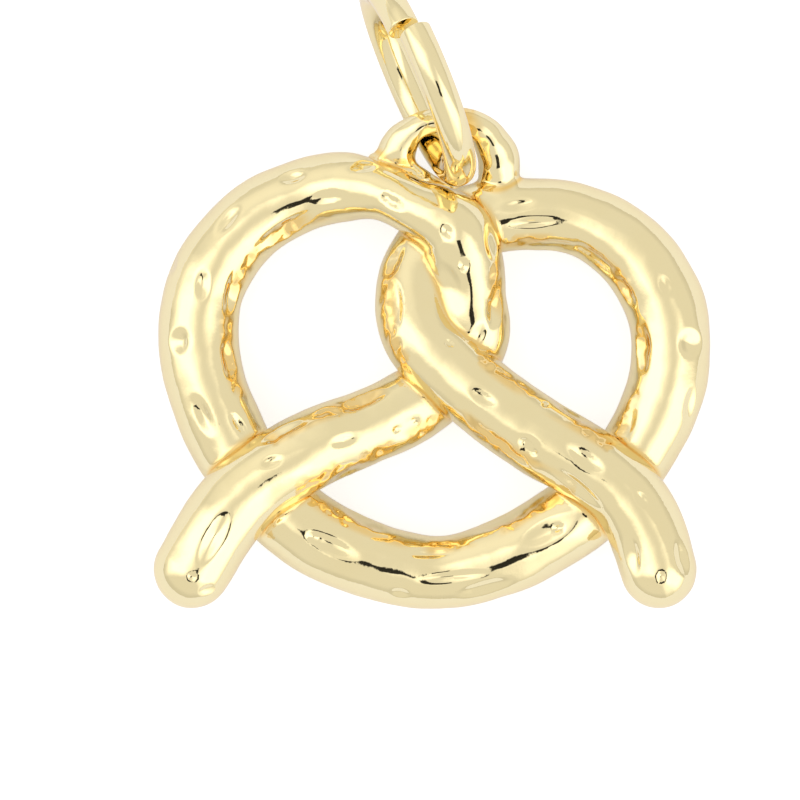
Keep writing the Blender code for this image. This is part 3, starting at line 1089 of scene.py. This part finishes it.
@dataclass
class LightTent:
    """The tent of pale cloth round the table, with its brighter and darker panels.

    Attributes:
        glow: The tent's plain glow.
        horizon_share: How much of the plain glow is left level with the table.
        horizon_height: How far up the glow still fades, from 0 level to 1 straight up.
        tint: The light's tone.
    """

    glow: float = 0.84
    horizon_share: float = 0.83
    horizon_height: float = 0.35
    tint: Tone = (1.0, 1.0, 1.0)

    def build(self) -> None:
        """Make the tent as the scene's world."""
        world = bpy.data.worlds.new("light_tent")
        world.use_nodes = True
        nodes, links = world.node_tree.nodes, world.node_tree.links
        background = nodes["Background"]
        background.inputs["Color"].default_value = (*self.tint, 1.0)
        place = nodes.new("ShaderNodeTexCoord").outputs["Generated"]
        level = self.add_horizon(nodes, links, place)
        for panel in PANELS:
            amount = self.add_amount(nodes, links, place, panel)
            level = self.add_panel(nodes, links, level, amount, panel)
        links.new(level, background.inputs["Strength"])
        bpy.context.scene.world = world

    def add_horizon(self, nodes: Nodes, links: Links, place: Socket) -> Socket:
        """Add the tent's plain glow, which fades towards the table.

        Args:
            nodes: The world's nodes.
            links: The world's links.
            place: The direction looked in.

        Returns:
            The glow.
        """
        parts = nodes.new("ShaderNodeSeparateXYZ")
        links.new(place, parts.inputs["Vector"])
        fade = nodes.new("ShaderNodeMapRange")
        fade.interpolation_type = "SMOOTHSTEP"
        fade.inputs["From Max"].default_value = self.horizon_height
        fade.inputs["To Min"].default_value = self.glow * self.horizon_share
        fade.inputs["To Max"].default_value = self.glow
        links.new(parts.outputs["Z"], fade.inputs["Value"])
        return fade.outputs["Result"]

    def add_amount(
        self, nodes: Nodes, links: Links, place: Socket, panel: SoftPanel
    ) -> Socket:
        """Add how much of a panel lies in the direction looked in.

        Args:
            nodes: The world's nodes.
            links: The world's links.
            place: The direction looked in.
            panel: The panel.

        Returns:
            The amount, from 0 to 1.
        """
        spans = []
        for axis, half in zip(panel.axes(), (panel.half_depth, panel.half_width)):
            dot = nodes.new("ShaderNodeVectorMath")
            dot.operation = "DOT_PRODUCT"
            dot.inputs[1].default_value = axis / math.sin(math.radians(half))
            links.new(place, dot.inputs[0])
            size = nodes.new("ShaderNodeMath")
            size.operation = "ABSOLUTE"
            links.new(dot.outputs["Value"], size.inputs[0])
            spans.append(size.outputs["Value"])
        widest = nodes.new("ShaderNodeMath")
        widest.operation = "SMOOTH_MAX"
        widest.inputs[2].default_value = panel.softness
        links.new(spans[0], widest.inputs[0])
        links.new(spans[1], widest.inputs[1])
        edge = nodes.new("ShaderNodeMapRange")
        edge.interpolation_type = "SMOOTHSTEP"
        edge.inputs["From Min"].default_value = 1 + panel.softness
        edge.inputs["From Max"].default_value = 1 - panel.softness
        links.new(widest.outputs["Value"], edge.inputs["Value"])
        return edge.outputs["Result"]

    def add_panel(
        self, nodes: Nodes, links: Links, level: Socket, amount: Socket, panel: SoftPanel
    ) -> Socket:
        """Add a panel's glow to the tent, or take its shade from it.

        Args:
            nodes: The world's nodes.
            links: The world's links.
            level: The glow so far.
            amount: How much of the panel lies in the direction looked in.
            panel: The panel.

        Returns:
            The glow with the panel.
        """
        gain = nodes.new("ShaderNodeMath")
        gain.operation = "MULTIPLY_ADD"
        links.new(amount, gain.inputs[0])
        if panel.tone is PanelTone.LIGHT:
            gain.inputs[1].default_value = panel.glow
            links.new(level, gain.inputs[2])
            return gain.outputs["Value"]
        gain.inputs[1].default_value = -panel.glow
        gain.inputs[2].default_value = 1.0
        shaded = nodes.new("ShaderNodeMath")
        shaded.operation = "MULTIPLY"
        links.new(gain.outputs["Value"], shaded.inputs[0])
        links.new(level, shaded.inputs[1])
        return shaded.outputs["Value"]


@dataclass(frozen=True)
class TableTop:
    """A sheet of the pale table.

    Attributes:
        name: The sheet's name.
        height: Its height, in mm.
        tone: Its tone.
        glow: The strength of its own faint glow.
        size: Its width, in metres.
        roughness: How matt it is.
    """

    name: str
    height: float
    tone: Tone
    glow: float
    size: float = 0.50
    roughness: float = 0.9

    def build(self) -> bpy.types.Object:
        """Make the sheet.

        Returns:
            The finished object.
        """
        bm = bmesh.new()
        bmesh.ops.create_grid(bm, x_segments=1, y_segments=1, size=self.size / 2)
        bmesh.ops.translate(bm, verts=bm.verts, vec=(0.0, 0.0, self.height * MM))
        sheet = new_object(self.name, bm)
        material = bpy.data.materials.new(self.name)
        material.use_nodes = True
        shader = material.node_tree.nodes["Principled BSDF"]
        shader.inputs["Base Color"].default_value = (*self.tone, 1.0)
        shader.inputs["Roughness"].default_value = self.roughness
        shader.inputs["Specular IOR Level"].default_value = 0.0
        shader.inputs["Emission Color"].default_value = (*self.tone, 1.0)
        shader.inputs["Emission Strength"].default_value = self.glow
        sheet.data.materials.append(material)
        return sheet


@dataclass
class Studio:
    """The pale table, the soft tent round it and the camera that looks straight down.

    Attributes:
        pixels_per_mm: The picture's scale at the focus height.
        picture_size: The picture's width and height, in pixels.
        origin_pixel: Where in the picture the scene's origin is, from its top left corner.
        focus_height: The height that the scale holds for, in mm.
        camera_height: The camera's height, in metres.
        near_clip: How near to the camera things are still drawn, in metres.
        sensor: The camera's sensor width, in mm.
    """

    pixels_per_mm: float = 36.8
    picture_size: int = 800
    origin_pixel: tuple[float, float] = (435.0, 293.0)
    focus_height: float = 1.5
    camera_height: float = 0.30
    near_clip: float = 0.01
    sensor: float = 36.0

    def build(self) -> None:
        """Build the table, the light and the camera."""
        self.build_table()
        LightTent().build()
        self.build_camera()
        bpy.context.scene.view_settings.view_transform = "Standard"
        log.info("studio: table, tent with %d panels, and camera", len(PANELS))

    def build_table(self) -> None:
        """Make the table's bright face, and the calmer sheet that the metal mirrors."""
        face = TableTop("table_face", height=-0.02, tone=(0.55, 0.55, 0.55), glow=1.25).build()
        face.visible_diffuse = False
        face.visible_glossy = False
        face.visible_shadow = False
        sheet = TableTop("table_sheet", height=-0.04, tone=(0.66, 0.68, 0.76), glow=0.38)
        sheet.build().visible_camera = False

    def build_camera(self) -> None:
        """Set the camera straight above, framed as the picture is."""
        half = self.picture_size / 2
        scale = self.pixels_per_mm / MM
        lens = bpy.data.cameras.new("camera")
        lens.sensor_width = self.sensor
        lens.clip_start = self.near_clip
        distance = self.camera_height - self.focus_height * MM
        lens.lens = self.sensor * distance * scale / self.picture_size
        camera = bpy.data.objects.new("camera", lens)
        camera.location = (
            (half - self.origin_pixel[0]) / scale,
            (self.origin_pixel[1] - half) / scale,
            self.camera_height,
        )
        bpy.context.scene.collection.objects.link(camera)
        bpy.context.scene.camera = camera


def main() -> None:
    """Build the charm and its studio, and tell which piece stands for which solid."""
    logging.basicConfig(level=logging.INFO, format="%(name)s: %(message)s")
    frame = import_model()
    Studio().build()
    casting = PretzelCasting().build()
    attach(casting, "charm")
    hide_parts("pretzel")
    log.info("%s: %d vertices", casting.name, len(casting.data.vertices))
    ring = JumpRing().build(frame["joints"][0])
    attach(ring, "ring")
    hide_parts("jump_ring")
    log.info("%s: %d vertices", ring.name, len(ring.data.vertices))


if __name__ == "__main__":
    main()
